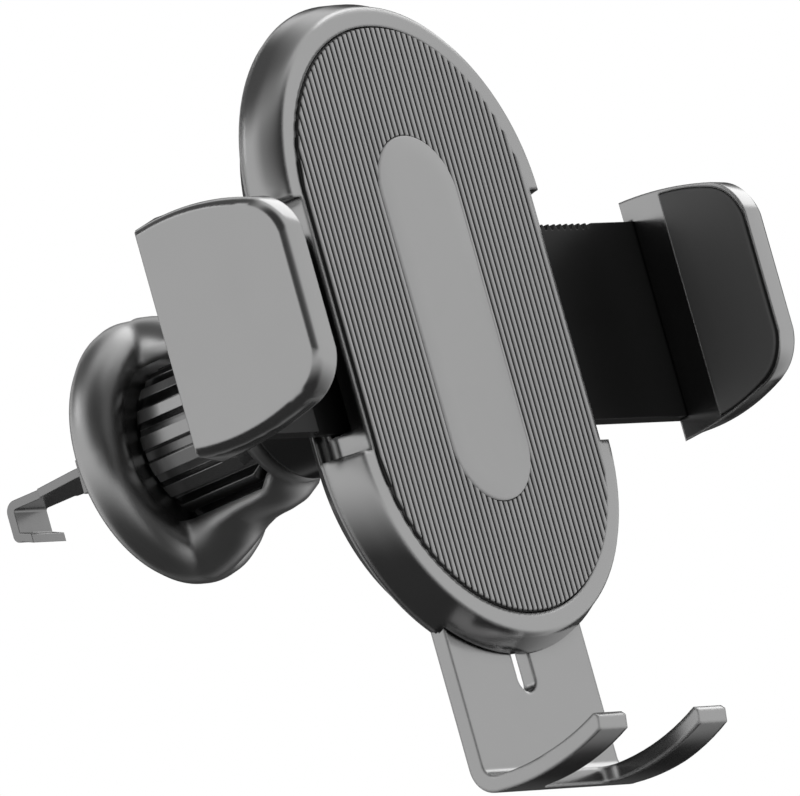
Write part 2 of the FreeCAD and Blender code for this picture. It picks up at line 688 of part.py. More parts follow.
def arm(side):
    """Arm: a toothed tongue in the head and a plain plate that ends as a tenon in the jaw."""
    teeth_right = int((RACK_END - PINION_X) / TOOTH_PITCH)
    teeth_left = -int((PINION_X - TONGUE_TIP) / TOOTH_PITCH)
    teeth = rack_points(teeth_left, teeth_right)
    points = [Vector(PINION_X + along, ARM_FRONT, ARM_RACK_LINE + up) for along, up in teeth]
    root_height = ARM_RACK_LINE - DEDENDUM
    points.insert(0, Vector(TONGUE_TIP, ARM_FRONT, root_height))
    points.insert(0, Vector(TONGUE_TIP, ARM_FRONT, -ARM_HALF_HEIGHT))
    points.append(Vector(points[-1].x + ADDENDUM + DEDENDUM, ARM_FRONT, ARM_HALF_HEIGHT))
    points.append(Vector(ARM_END, ARM_FRONT, ARM_HALF_HEIGHT))
    points.append(Vector(ARM_END, ARM_FRONT, -ARM_HALF_HEIGHT))
    plate = Part.Face(polygon(points)).extrude(Vector(0, ARM_THICKNESS, 0))

    # The right arm's tongue runs in front of the left arm's
    tongue_front = ARM_FRONT if side > 0 else ARM_REAR - TONGUE_THICKNESS
    tongue_rear = tongue_front + TONGUE_THICKNESS
    tall = 2 * ARM_HALF_HEIGHT
    cut_front = box(0, TONGUE_ROOT, 0, tongue_front, -tall, tall)
    cut_rear = box(0, TONGUE_ROOT, tongue_rear, HEAD_REAR, -tall, tall)
    plate = plate.cut([cut_front, cut_rear])
    return plate if side > 0 else mirror_x(plate)


def jaw_shell(side):
    """Plated jaw with a rounded outer edge, a pocket for its pad and a slot for the arm."""
    band = JAW_THICKNESS - JAW_EDGE_ROUND
    shell = Part.makeLoft([
        jaw_outline(0, 0, JAW_INNER_STEP, JAW_INNER_RISE), jaw_outline(band, JAW_EDGE_ROUND / 8),
        jaw_outline(JAW_THICKNESS - JAW_EDGE_ROUND / 3, JAW_EDGE_ROUND / 2),
        jaw_outline(JAW_THICKNESS, JAW_EDGE_ROUND),
    ], True, True)
    pocket = jaw_lining(JAW_RIM_WALL, JAW_PAD_REAR - GLUE_GAP)
    shell = place_jaw(shell.cut(pocket))
    notch_half = ARM_HALF_HEIGHT + GLUE_GAP
    notch_front = ARM_FRONT - GLUE_GAP
    notch_inner = JAW_INNER_AT_REAR - JAW_THICKNESS
    notch_outer = ARM_END + GLUE_GAP
    shell = shell.cut(box(notch_inner, notch_outer, notch_front, 2 * JAW_REAR, -notch_half, notch_half))
    return shell if side > 0 else mirror_x(shell)


def jaw_pad(side):
    """Rubber pad in the jaw's pocket, facing the phone."""
    pad = place_jaw(jaw_lining(JAW_RIM_WALL + GLUE_GAP, JAW_PAD_REAR))
    return pad if side > 0 else mirror_x(pad)


# Foot

def foot():
    """Foot: a fork with racks in the head, a slotted plate and two curved toes."""
    front, rear = FOOT_FRONT, FOOT_REAR
    half = FOOT_HALF_WIDTH
    corner = math.sqrt(0.5)
    heel_centre = Vector(-half, rear - HEEL_RADIUS, HEEL_RADIUS - FOOT_HEEL)
    inner = INNER_HEEL_RADIUS
    toe_top = -FOOT_SOLE_TOP + FOOT_TOE_RISE
    toe_end = -FOOT_TOE_REACH
    toe_round = TOE_THICKNESS / 4
    side_view = outline([
        Vector(-half, front, -CROSSBAR_TOP),
        Vector(-half, front, heel_centre.z),
        "arc", heel_centre + Vector(0, inner * corner, -inner * corner), heel_centre + Vector(0, 0, -inner),
        "arc", Vector(-half, toe_end / 2, -FOOT_SOLE_TOP + FOOT_TOE_RISE / 6),
        Vector(-half, toe_end + toe_round, toe_top),
        Vector(-half, toe_end, toe_top - toe_round),
        Vector(-half, toe_end + toe_round / 2, toe_top - TOE_THICKNESS),
        "arc", Vector(-half, toe_end / 2, toe_top - TOE_THICKNESS - 5 * FOOT_TOE_RISE / 6),
        heel_centre + Vector(0, 0, -HEEL_RADIUS),
        "arc", heel_centre + Vector(0, HEEL_RADIUS * corner, -HEEL_RADIUS * corner),
        heel_centre + Vector(0, HEEL_RADIUS, 0),
        Vector(-half, rear, -CROSSBAR_TOP),
    ])
    body = Part.Face(side_view).extrude(Vector(2 * half, 0, 0))

    # The charging gap between the toes, with round inner corners
    gap_half = half - FINGER_WIDTH
    gap = box(-gap_half, gap_half, 2 * toe_end, FINGER_ROOT, -2 * FOOT_HEEL, -FOOT_HEEL + 2 * HEEL_RADIUS)
    gap_corners = [
        e for e in gap.Edges
        if e.BoundBox.YLength < EDGE_SPARE and e.BoundBox.XLength < EDGE_SPARE
        and e.BoundBox.YMin > FINGER_ROOT - EDGE_SPARE
    ]
    gap = gap.makeFillet(FINGER_ROOT_RADIUS, gap_corners)
    slot = upright_slot(GUIDE_SLOT_WIDTH / 2, -GUIDE_SLOT_BOTTOM, -GUIDE_SLOT_TOP, 0, HEAD_REAR)
    tall = 2 * FOOT_HEEL
    taper = Part.Face(polygon([
        Vector(half, toe_end + TOE_TAPER_LENGTH, -tall), Vector(half - TOE_TAPER, toe_end, -tall),
        Vector(half - TOE_TAPER, 2 * toe_end, -tall), Vector(2 * half, 2 * toe_end, -tall),
        Vector(2 * half, toe_end + TOE_TAPER_LENGTH, -tall),
    ])).extrude(Vector(0, 0, tall))
    body = body.cut([gap, slot, taper, mirror_x(taper)])

    # The fork's crossbar and prongs, with racks on the prongs' inner edges
    crossbar = box(-half, half, front, FORK_REAR, -CROSSBAR_BOTTOM, -CROSSBAR_TOP)
    teeth_up = int((PRONG_TOP - PINION_Z) / TOOTH_PITCH)
    rack = rack_points(-2, teeth_up - 1)
    points = [Vector(FOOT_RACK_LINE - up, FORK_FRONT, PINION_Z + along) for along, up in rack]
    root = FOOT_RACK_LINE + DEDENDUM
    points.append(Vector(root, FORK_FRONT, PRONG_TOP))
    points.append(Vector(half, FORK_FRONT, PRONG_TOP))
    points.append(Vector(half, FORK_FRONT, -CROSSBAR_BOTTOM))
    points.append(Vector(root, FORK_FRONT, -CROSSBAR_BOTTOM))
    prong = Part.Face(polygon(points)).extrude(Vector(0, FORK_THICKNESS, 0))
    room = REAR_FLAT_RADIUS - SLIDE_GAP
    prong = prong.common(upright_slot(room, -STRAIGHT - room, STRAIGHT + room, FORK_FRONT, FORK_REAR))
    return body.fuse([crossbar, prong, mirror_x(prong)]).removeSplitter()


# Ball stud and socket

def ball_stud():
    """Ball, stem and stepped flange, turned about the clip's axis; the flange meets the head."""
    flange_front = HEAD_REAR - HEAD_TO_VENT
    step = flange_front + FLANGE_THICKNESS / 2
    stem_front = flange_front + FLANGE_THICKNESS
    stem_end = BALL_Y - math.sqrt(BALL_RADIUS ** 2 - STEM_RADIUS ** 2)
    stud = turned([
        (0, flange_front), (FLANGE_RADIUS, flange_front), (FLANGE_RADIUS, step),
        (FLANGE_RADIUS - FLANGE_STEP, stem_front), (STEM_RADIUS, stem_front),
        (STEM_RADIUS, stem_end), "arc", (BALL_RADIUS, BALL_Y), (0, BALL_Y + BALL_RADIUS),
    ])
    screw_hole = rod(STUD_SCREW_RADIUS + SHAFT_GAP, flange_front, flange_front + STUD_SCREW_LENGTH)
    return stud.cut(screw_hole)


def stud_screw():
    """Screw from inside the head into the stem."""
    seat = FLOOR_FRONT - HEAD_TO_VENT
    head = rod(STUD_SCREW_HEAD_RADIUS, seat - STUD_SCREW_HEAD_THICKNESS, seat)
    tip = HEAD_REAR - HEAD_TO_VENT + STUD_SCREW_LENGTH - SEAT_GAP
    shank = rod(STUD_SCREW_RADIUS, seat, tip)
    half = DRIVE_RADIUS / 3
    reach = 2 * DRIVE_RADIUS
    drive_rear = seat - STUD_SCREW_HEAD_THICKNESS + DRIVE_DEPTH
    cross = [box(-reach, reach, seat - FLOOR_FRONT, drive_rear, -half, half)]
    cross.append(box(-half, half, seat - FLOOR_FRONT, drive_rear, -reach, reach))
    return head.fuse(shank).cut(cross).removeSplitter()


def ball_seat():
    """Cup with a slotted rim that grips the ball from behind; its faces are tangent to the ball."""
    tangent = SEAT_INNER * math.tan(math.radians(45.0 / 2))
    seat = turned([
        (SEAT_INNER, BALL_Y), (SEAT_OUTER, BALL_Y), (SEAT_OUTER, SEAT_REAR), (0, SEAT_REAR),
        (0, BALL_Y + SEAT_INNER), (tangent, BALL_Y + SEAT_INNER), (SEAT_INNER, BALL_Y + tangent),
    ])
    half = SEAT_SLOT_WIDTH / 2
    slot_rear = BALL_Y + SEAT_INNER / 2
    slots = []
    for number in range(SEAT_SLOTS):
        slot = box(0, 2 * SEAT_OUTER, BALL_Y - SEAT_WALL, slot_rear, -half, half)
        slot.rotate(Vector(0, 0, 0), Vector(0, 1, 0), 360 * number / SEAT_SLOTS)
        slots.append(slot)
    return seat.cut(slots)


def socket_nut():
    """Ring nut over the neck, rounded like a bulb, whose lip holds the ball in."""
    front, rear = -NUT_FRONT, -NUT_REAR
    bore_front = -NECK_FRONT - SEAT_GAP
    nose = NUT_RADIUS - NUT_NOSE

    # The lip is a cone that touches the ball's running gap halfway along it
    touch = (BALL_Y - bore_front + NUT_PAST_BALL) / 2
    touch_radius = math.sqrt(SEAT_INNER ** 2 - touch ** 2)
    lip_radius = (SEAT_INNER ** 2 - touch * (BALL_Y - bore_front)) / touch_radius
    mouth_rear = BALL_Y - (SEAT_INNER ** 2 - touch_radius * NUT_MOUTH_RADIUS) / touch
    return turned([
        (NUT_MOUTH_RADIUS, front), (nose, front),
        (NUT_RADIUS - NUT_NOSE / 4, front + 2 * NUT_NOSE / 3), (NUT_RADIUS, front + 2 * NUT_NOSE),
        (NUT_RADIUS, rear), (NUT_INNER, rear), (NUT_INNER, bore_front), (lip_radius, bore_front),
        (NUT_MOUTH_RADIUS, mouth_rear),
    ])


# Vent clip

def clip_body():
    """Neck, two straps that swell from it to the ring, and the ring."""
    shoulder = [
        Vector(NECK_RADIUS + NECK_WALL, NECK_WALL - WINDOW_FRONT, 0),
        Vector(KNOB_SPACE_RADIUS + STRAP_SHOULDER, STRAP_SHOULDER_LENGTH - KNOB_SPACE_FRONT, 0),
        Vector(KNOB_SPACE_RADIUS + STRAP_WALL, STRAP_LENGTH - KNOB_SPACE_FRONT, 0),
        Vector(RING_RADIUS - RING_WAIST_STEP, -RING_FRONT - RING_WAIST_LENGTH, 0),
        Vector(RING_RADIUS - RING_BULGE_STEP, -RING_FRONT - RING_BULGE_LENGTH, 0),
        Vector(RING_RADIUS, -RING_FRONT, 0),
    ]
    spine = Part.BSplineCurve()
    spine.interpolate(shoulder)
    side_top = math.sqrt(KNOB_SPACE_RADIUS ** 2 - STRAP_HALF_WIDTH ** 2) + STRAP_SIDE_WALL
    low = -NECK_RADIUS / 2
    sections = []
    for station in spine.discretize(Number=STRAP_STATIONS):
        y = station.y
        flare = max(0.0, y + STRAP_FLARE_START) ** 2 / (2 * STRAP_FLARE_RADIUS)
        half = STRAP_HALF_WIDTH + flare
        side = min(side_top, math.sqrt(station.x ** 2 - half ** 2) - STRAP_SIDE_STEP)
        sections.append(outline([
            Vector(-half, y, low), Vector(-half, y, -side), "arc", Vector(0, y, -station.x),
            Vector(half, y, -side), Vector(half, y, low),
        ]))
    strap = Part.makeLoft(sections, True, True)
    inside = rod(NECK_RADIUS, 2 * shoulder[0].y, 0)
    strap = strap.cut(inside)
    neck = turned([
        (0, -NECK_FRONT), (NECK_RADIUS, -NECK_FRONT), (NECK_RADIUS, -NECK_REAR),
        (NECK_RADIUS + NECK_WALL, -WINDOW_FRONT), (NECK_RADIUS + NECK_WALL, -KNOB_SPACE_FRONT),
        (0, -KNOB_SPACE_FRONT),
    ])
    upper = strap.mirror(Vector(0, 0, 0), Vector(0, 0, 1))
    body = neck.fuse([strap, upper, rounded_ring()])

    # The knob's space, the socket in the neck, the recess behind the web and the pad's groove
    knob_space = turned([
        (0, -KNOB_SPACE_FRONT), (KNOB_SPACE_RADIUS - KNOB_SPACE_CHAMFER, -KNOB_SPACE_FRONT),
        (KNOB_SPACE_RADIUS, -KNOB_SPACE_FRONT + KNOB_SPACE_CHAMFER),
        (KNOB_SPACE_RADIUS, -KNOB_SPACE_REAR), (0, -KNOB_SPACE_REAR),
    ])
    socket = rod(NECK_INNER, -NECK_FRONT, SOCKET_FLOOR)
    recess = rod(RING_HOLE_RADIUS, WEB_THICKNESS - KNOB_SPACE_REAR, 0)
    groove = rod(VENT_PAD_OUTER + GLUE_GAP, -VENT_PAD_THICKNESS, 0)
    groove = groove.cut(rod(VENT_PAD_INNER - GLUE_GAP, -VENT_PAD_THICKNESS, 0))
    body = body.cut([knob_space, socket, recess, groove])
    return body.cut(flatted_rod(SHAFT_GAP, -KNOB_SPACE_REAR, 0)).removeSplitter()


def rounded_ring():
    """The ring, whose section rolls over from its widest point to the hole's edge."""
    width = RING_RADIUS - RING_HOLE_RADIUS
    drop = WINDOW_REAR - RING_BELT
    roll = (width * width + drop * drop) / (2 * width)
    turn = math.pi - math.asin(drop / roll)
    rolled = []
    for number in range(RING_STATIONS + 1):
        angle = turn * number / RING_STATIONS
        rolled.append((RING_RADIUS - roll + roll * math.cos(angle), -RING_BELT - roll * math.sin(angle)))
    rear = [
        (0, RING_REAR), (RING_EDGE_RADIUS, RING_REAR),
        (RING_RADIUS - RING_EDGE_ROUND, -RING_EDGE_DEPTH),
        (RING_RADIUS - RING_EDGE_ROUND / 4, (-RING_BELT - RING_EDGE_DEPTH) / 2),
    ]
    return turned(rear + rolled + [(0, -WINDOW_REAR)])


def flatted_rod(gap, y_low, y_high):
    """The stem's section: round with two flats, so that the hook can't turn."""
    flat = STEM_FLAT + gap
    wide = 2 * STEM_THREAD_RADIUS
    return rod(STEM_THREAD_RADIUS + gap, y_low, y_high).common(box(-wide, wide, y_low, y_high, -flat, flat))


def vent_pad():
    """Rubber ring that rests on the vent."""
    ring = rod(VENT_PAD_OUTER, -VENT_PAD_THICKNESS, 0)
    return ring.cut(rod(VENT_PAD_INNER, -VENT_PAD_THICKNESS, 0))


def tightening_knob():
    """Ribbed knob that draws the hook in as it turns."""
    front = -KNOB_SPACE_FRONT + KNOB_END_GAP
    rear = -KNOB_SPACE_REAR - KNOB_END_GAP
    core_radius = KNOB_RADIUS - KNOB_RIB_HEIGHT
    step = 2 * math.pi / KNOB_RIBS
    rib = step * KNOB_RIB_SHARE / 2
    foot_angle = rib * KNOB_RIB_DRAFT
    points = []
    for number in range(KNOB_RIBS):
        centre = number * step
        for radius, angle in (
            (core_radius, centre - foot_angle), (KNOB_RADIUS, centre - rib),
            (KNOB_RADIUS, centre + rib), (core_radius, centre + foot_angle),
        ):
            points.append(Vector(radius * math.cos(angle), front, radius * math.sin(angle)))
    body = Part.Face(polygon(points)).extrude(Vector(0, rear - front, 0))
    chamfer = KNOB_SPACE_CHAMFER
    envelope = turned([
        (0, front), (KNOB_RADIUS - chamfer, front), (KNOB_RADIUS + SHAFT_GAP, front + chamfer),
        (KNOB_RADIUS + SHAFT_GAP, rear - chamfer / 2), (KNOB_RADIUS - chamfer / 2, rear), (0, rear),
    ])
    return body.common(envelope).cut(rod(STEM_THREAD_RADIUS + SHAFT_GAP, front, rear))


def hook_stem():
    """Threaded stem with two flats, and the yoke that holds the hook's strip."""
    stem = flatted_rod(0, STEM_FRONT, YOKE_FRONT)
    width, height = YOKE_HALF_WIDTH, YOKE_HALF_HEIGHT
    yoke = box(-width, width, YOKE_FRONT, YOKE_REAR, -height, HOOK_TOP + height / 2)
    slot_front = YOKE_FRONT + YOKE_LENGTH / 4
    low = HOOK_TOP - HOOK_THICKNESS
    slot = box(-HOOK_WIDE / 2, HOOK_WIDE / 2, slot_front, YOKE_REAR, low, HOOK_TOP)
    return stem.fuse(yoke).cut(slot).removeSplitter()


def hook():
    """Bent strip that hooks behind a louvre: wide in the yoke, narrow at the bend."""
    low, high = HOOK_TOP - HOOK_THICKNESS, HOOK_TOP
    bend, inner = HOOK_BEND, HOOK_BEND - HOOK_THICKNESS
    corner = math.sqrt(0.5)
    start = YOKE_FRONT + YOKE_LENGTH / 4
    half = HOOK_WIDE / 2
    centre = Vector(-half, HOOK_REACH - bend, high - bend)
    foot_z = high - HOOK_DROP
    side_view = outline([
        Vector(-half, start, high),
        Vector(-half, HOOK_REACH - bend, high),
        "arc", centre + Vector(0, bend * corner, bend * corner), centre + Vector(0, bend, 0),
        Vector(-half, HOOK_REACH, foot_z + HOOK_THICKNESS),
        "arc", Vector(-half, HOOK_REACH - HOOK_THICKNESS / 4, foot_z + HOOK_THICKNESS / 4),
        Vector(-half, HOOK_REACH - HOOK_THICKNESS, foot_z),
        Vector(-half, HOOK_REACH - HOOK_LIP - HOOK_THICKNESS, foot_z - HOOK_LIP_FALL),
        Vector(-half, HOOK_REACH - HOOK_LIP - HOOK_THICKNESS, foot_z - HOOK_LIP_FALL + HOOK_THICKNESS),
        Vector(-half, HOOK_REACH - HOOK_THICKNESS, foot_z + HOOK_THICKNESS),
        centre + Vector(0, inner, 0), "arc", centre + Vector(0, inner * corner, inner * corner),
        centre + Vector(0, 0, inner),
        Vector(-half, start, low),
    ])
    strip = Part.Face(side_view).extrude(Vector(2 * half, 0, 0))
    narrow = HOOK_NARROW / 2
    tall = 2 * HOOK_DROP
    plan = polygon([
        Vector(-half, start, -tall), Vector(half, start, -tall), Vector(half, HOOK_SHOULDER, -tall),
        Vector(narrow + HOOK_THICKNESS / 2, HOOK_STEP, -tall), Vector(narrow, HOOK_STEP, -tall),
        Vector(narrow, HOOK_REACH, -tall), Vector(-narrow, HOOK_REACH, -tall),
        Vector(-narrow, HOOK_STEP, -tall), Vector(-narrow - HOOK_THICKNESS / 2, HOOK_STEP, -tall),
        Vector(-half, HOOK_SHOULDER, -tall),
    ])
    return strip.common(Part.Face(plan).extrude(Vector(0, 0, 2 * tall)))


# Every piece, by the name of its node

HEAD_PIECES = {
    "front_cover": front_cover,
    "rear_cover": rear_cover,
    "grip_pad": grip_pad,
    "cover_screws": cover_screws,
    "foot": foot,
}
SIDED_HEAD_PIECES = {
    "arm": arm,
    "jaw_shell": jaw_shell,
    "jaw_pad": jaw_pad,
    "pinion": pinion,
    "pinion_pin": pinion_pin,
    "return_spring": return_spring,
}
CLIP_PIECES = {
    "ball_stud": ball_stud,
    "stud_screw": stud_screw,
    "ball_seat": ball_seat,
    "socket_nut": socket_nut,
    "clip_body": clip_body,
    "vent_pad": vent_pad,
    "tightening_knob": tightening_knob,
    "hook_stem": hook_stem,
    "hook": hook,
}


def all_pieces():
    pieces = {name: place_head(make()) for name, make in HEAD_PIECES.items()}
    for name, make in SIDED_HEAD_PIECES.items():
        pieces["left_" + name] = place_head(make(-1))
        pieces["right_" + name] = place_head(make(1))
    pieces.update({name: make() for name, make in CLIP_PIECES.items()})
    return pieces


def main():
    os.makedirs("parts", exist_ok=True)
    for name, shape in all_pieces().items():
        shape.exportStep("parts/" + name + ".step")
        box_size = shape.BoundBox
        print(name, len(shape.Solids), shape.isValid(), round(shape.Volume, 1),
              [round(v, 2) for v in (box_size.XMin, box_size.XMax, box_size.YMin,
                                     box_size.YMax, box_size.ZMin, box_size.ZMax)])


main()
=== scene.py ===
# %% [markdown]
# An air vent phone holder, dressed for the camera.
# The holder's measured solids come first: every moving body, gear and screw is already in its place.
# This notebook gives them their surfaces, rebuilds the soft silicone and rubber parts, and sets up
# a small photo studio. Everything is in metres, in the frame of the solids.

# %% Load the measured holder
import math

import bmesh
import bpy
from mathutils import Matrix, Vector


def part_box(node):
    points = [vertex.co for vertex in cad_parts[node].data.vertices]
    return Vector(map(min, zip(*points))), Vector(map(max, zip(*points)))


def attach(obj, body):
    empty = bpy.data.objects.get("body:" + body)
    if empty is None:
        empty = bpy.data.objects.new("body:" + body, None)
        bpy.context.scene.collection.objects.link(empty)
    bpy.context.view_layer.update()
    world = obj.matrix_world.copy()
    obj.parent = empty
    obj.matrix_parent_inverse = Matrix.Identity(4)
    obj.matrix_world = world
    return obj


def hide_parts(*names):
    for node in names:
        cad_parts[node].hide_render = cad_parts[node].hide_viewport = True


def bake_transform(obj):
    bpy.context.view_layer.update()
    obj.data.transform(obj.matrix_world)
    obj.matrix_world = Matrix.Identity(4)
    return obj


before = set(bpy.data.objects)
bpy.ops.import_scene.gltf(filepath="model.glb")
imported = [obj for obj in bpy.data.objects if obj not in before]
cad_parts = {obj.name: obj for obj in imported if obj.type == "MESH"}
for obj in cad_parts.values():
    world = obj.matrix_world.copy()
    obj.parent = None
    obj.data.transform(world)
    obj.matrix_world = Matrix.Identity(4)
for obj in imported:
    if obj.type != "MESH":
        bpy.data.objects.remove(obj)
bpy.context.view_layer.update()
MM = 0.001

# %% [markdown]
# The head leans on a ball joint in front of the vent. Its own drawing has its origin on the front of
# the rim and is in millimetres, so soft parts that sit in the head are drawn there and shifted by
# one vector. Keeping that shift in one place is simpler than adding it to every number.

# %% Where the head stands
HEAD_SHIFT = Vector((0.0, -53.2, 1.3))
HEAD_HALF_WIDTH = 26.0
HEAD_HALF_LENGTH = 42.9
HEAD_STRAIGHT = HEAD_HALF_LENGTH - HEAD_HALF_WIDTH
low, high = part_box("front_cover")
print("rim front at y", round(low.y / MM, 2), "mm; drawn at", HEAD_SHIFT.y)

# %% [markdown]
# The camera stands low on the left and looks up at the holder through a very long lens, which keeps
# the long edges parallel as in a catalogue picture. It could be aimed with a constraint; three unit
# vectors and a centre point state the view exactly and never drift.

# %% Camera
VIEW_RIGHT = Vector((0.6190, -0.7389, -0.2662))
VIEW_UP = Vector((0.0261, -0.3194, 0.9473))
VIEW_CENTRE = Vector((-4.405, -44.987, -6.628)) * MM
FRAME_WIDTH = 0.1035
LENS = 1000.0
SENSOR = 36.0
FARTHEST = 20.0


def add_camera():
    data = bpy.data.cameras.new("studio_camera")
    data.lens = LENS
    data.sensor_width = SENSOR
    data.clip_end = FARTHEST
    camera = bpy.data.objects.new("studio_camera", data)
    bpy.context.scene.collection.objects.link(camera)
    right = VIEW_RIGHT.normalized()
    back = right.cross(VIEW_UP).normalized()
    up = back.cross(right)
    turn = Matrix((right, up, back)).transposed().to_4x4()
    distance = FRAME_WIDTH * LENS / SENSOR
    camera.matrix_world = Matrix.Translation(VIEW_CENTRE + back * distance) @ turn
    bpy.context.scene.camera = camera
    return back


view_back = add_camera()
print("camera looks from", [round(v, 3) for v in view_back])

# %% [markdown]
# Shader nodes are easier to read as sums. A Wire holds one socket, and plain Python operators on it
# add Math nodes; the reflected forms let a number stand on the left. Every other node comes from
# Board.add, which takes the node's type, its settings and what goes into its sockets. Wiring each
# node by hand would take three lines for every one of these.


# %% A small language for shaders
class Wire:
    """One output socket that plain arithmetic works on."""

    def __init__(self, board, socket):
        self.board = board
        self.socket = socket

    def math(self, operation, first, second):
        return self.board.add("ShaderNodeMath", {"operation": operation}, {0: first, 1: second})

    def __add__(self, other):
        return self.math("ADD", self, other)

    def __radd__(self, other):
        return self.math("ADD", other, self)

    def __sub__(self, other):
        return self.math("SUBTRACT", self, other)

    def __rsub__(self, other):
        return self.math("SUBTRACT", other, self)

    def __mul__(self, other):
        return self.math("MULTIPLY", self, other)

    def __rmul__(self, other):
        return self.math("MULTIPLY", other, self)

    def __truediv__(self, other):
        return self.math("DIVIDE", self, other)

    def at_least(self, other):
        return self.math("MAXIMUM", self, other)

    def beside(self, name):
        """Another output of the same node."""
        return Wire(self.board, self.socket.node.outputs[name])


class Board:
    """A node tree, and the one way that nodes are added to it."""

    def __init__(self, tree):
        self.tree = tree
        tree.nodes.clear()

    def add(self, kind, settings=None, inputs=None, out=0):
        node = self.tree.nodes.new(kind)
        for name, value in (settings or {}).items():
            setattr(node, name, value)
        for name, value in (inputs or {}).items():
            if isinstance(value, Wire):
                self.tree.links.new(value.socket, node.inputs[name])
            else:
                node.inputs[name].default_value = value
        return Wire(self, node.outputs[out]) if len(node.outputs) else node

    def between(self, factor, first, second):
        """A number that goes from first to second."""
        settings = {"data_type": "FLOAT"}
        return self.add("ShaderNodeMix", settings, {0: factor, 2: first, 3: second})

    def blend(self, factor, first, second):
        """A colour that goes from first to second."""
        settings = {"data_type": "RGBA"}
        return self.add("ShaderNodeMix", settings, {0: factor, 6: first, 7: second}, out=2)

    def noise(self, place, scale, detail):
        """Soft clouds about 0.5."""
        return self.add("ShaderNodeTexNoise", {}, {"Vector": place, "Scale": scale, "Detail": detail})

    def smooth(self, value, start, end):
        """0 below start and 1 above end, with soft shoulders."""
        settings = {"interpolation_type": "SMOOTHSTEP"}
        inputs = {"Value": value, "From Min": start, "From Max": end, "To Min": 0.0, "To Max": 1.0}
        return self.add("ShaderNodeMapRange", settings, inputs)


def grey(level, warmth=0.0):
    """A grey by its screen value from 0 to 255, as linear light; warmth adds red for blue."""
    share = level / 255
    linear = ((share + 0.055) / 1.055) ** 2.4 if share > 0.04 else share / 12.92
    return (linear * (1 + warmth), linear, linear * (1 - warmth), 1.0)


print("grey(157) is", [round(v, 3) for v in grey(157)])

# %% [markdown]
# A studio: plain white to the camera, so the holder hangs in white as in its photo, with no floor
# that could be mirrored in it. Shiny plating looks like what it mirrors, so a catalogue
# photographer sets a white tent round the piece and leaves parts of it open to the dark room:
# below the table, behind the lens, in one far corner and in the roof. The world does the same for
# mirrored rays, with four soft dark openings in a white sphere. Real black cards in the set could
# do it too, but they would stand in the other views.
# Each opening has its direction, the two cosines between which the dark sets in, and its depth.

# %% World
OPENINGS = {
    "below the table": ((-0.12, 0.12, -0.98), (0.10, 0.80), 0.95),
    "behind the lens": ((-0.52, -0.66, 0.54), (0.62, 0.94), 0.92),
    "in the far corner": ((0.80, 0.59, 0.04), (0.76, 0.93), 0.94),
    "in the roof": ((-0.10, 0.46, 0.88), (0.76, 0.95), 0.85),
}
DARKEST = 0.015
AMBIENT = 0.80


def add_world():
    world = bpy.data.worlds.new("studio_world")
    bpy.context.scene.world = world
    world.use_nodes = True
    board = Board(world.node_tree)
    direction = board.add("ShaderNodeTexCoord", out="Generated")
    mirrored = 1.0
    for towards, (start, full), depth in OPENINGS.values():
        inputs = {0: direction, 1: Vector(towards).normalized()}
        along = board.add("ShaderNodeVectorMath", {"operation": "DOT_PRODUCT"}, inputs, out="Value")
        mirrored = mirrored - board.smooth(along, start, full) * depth
    mirrored = mirrored.at_least(DARKEST)
    camera = board.add("ShaderNodeLightPath", out="Is Camera Ray")
    level = board.between(camera.beside("Is Glossy Ray"), AMBIENT, mirrored)
    seen = camera.at_least(camera.beside("Is Transmission Ray"))
    level = board.between(seen, level, 1.0)
    background = board.add("ShaderNodeBackground", {}, {"Color": (1, 1, 1, 1), "Strength": level})
    board.add("ShaderNodeOutputWorld", {}, {"Surface": background})


add_world()
print("world: ambient", AMBIENT, "with", len(OPENINGS), "dark openings:", ", ".join(OPENINGS))

# %% [markdown]
# Two large soft lamps shape the matt parts and draw the long highlights on the plating. Size
# matters more than strength here: a lamp wider than the holder gives shadows and highlights without
# hard edges.

# %% Lamps
LAMP_AIM = Vector((0, -0.03, 0))
LAMPS = {
    "key_lamp": ((1.25, -0.25, 1.15), 1.3, 5.4),
    "top_left_lamp": ((-0.9, 0.7, 1.1), 0.6, 1.3),
}


def add_lamp(name, place, size, power):
    data = bpy.data.lights.new(name, "AREA")
    data.shape = "DISK"
    data.size = size
    data.energy = power
    lamp = bpy.data.objects.new(name, data)
    bpy.context.scene.collection.objects.link(lamp)
    lamp.location = place
    lamp.rotation_euler = (LAMP_AIM - Vector(place)).to_track_quat("-Z", "Y").to_euler()


for name, (place, size, power) in LAMPS.items():
    add_lamp(name, place, size, power)
print("soft lamps:", ", ".join(LAMPS))

# %% [markdown]
# The finishes. Plated plastic is a metal mirror with a little blur, so its colour is the metal's own
# tint. A faint unevenness in gloss and a very low waviness keep it from looking like glass, and
# hollows get painted shade, a darker colour where ambient occlusion finds close surfaces. Moulded
# edges are never knife sharp: a Bevel node rounds them in the light, which costs no geometry and
# leaves the measured solids alone.
# Edges are in millimetres; noise scales are per metre.

# %% One maker for all solid finishes
CLOUD_COARSENESS = 3
CLOUD_DETAIL, WAVE_DETAIL, GRAIN_DETAIL = 3.0, 2.0, 4.0
GRAIN_SCALE = 6000.0
WAVE_HEIGHT = 0.006
BUMP_STRENGTH = 0.6
BUMP_DEPTH = 0.1
# Painted shade in hollows: how far the occlusion looks, where the darkening sets in, how strong it is, and
# how dark the shaded colour gets.
PAINTED_SHADE_REACH = 3.0
PAINTED_SHADE_EDGE = (0.25, 0.9)
PAINTED_SHADE_WEIGHT = 0.5
PAINTED_SHADE_LEVEL = 0.35
TINT_CHANGE = 0.08
LIGHT_SAMPLES = 6


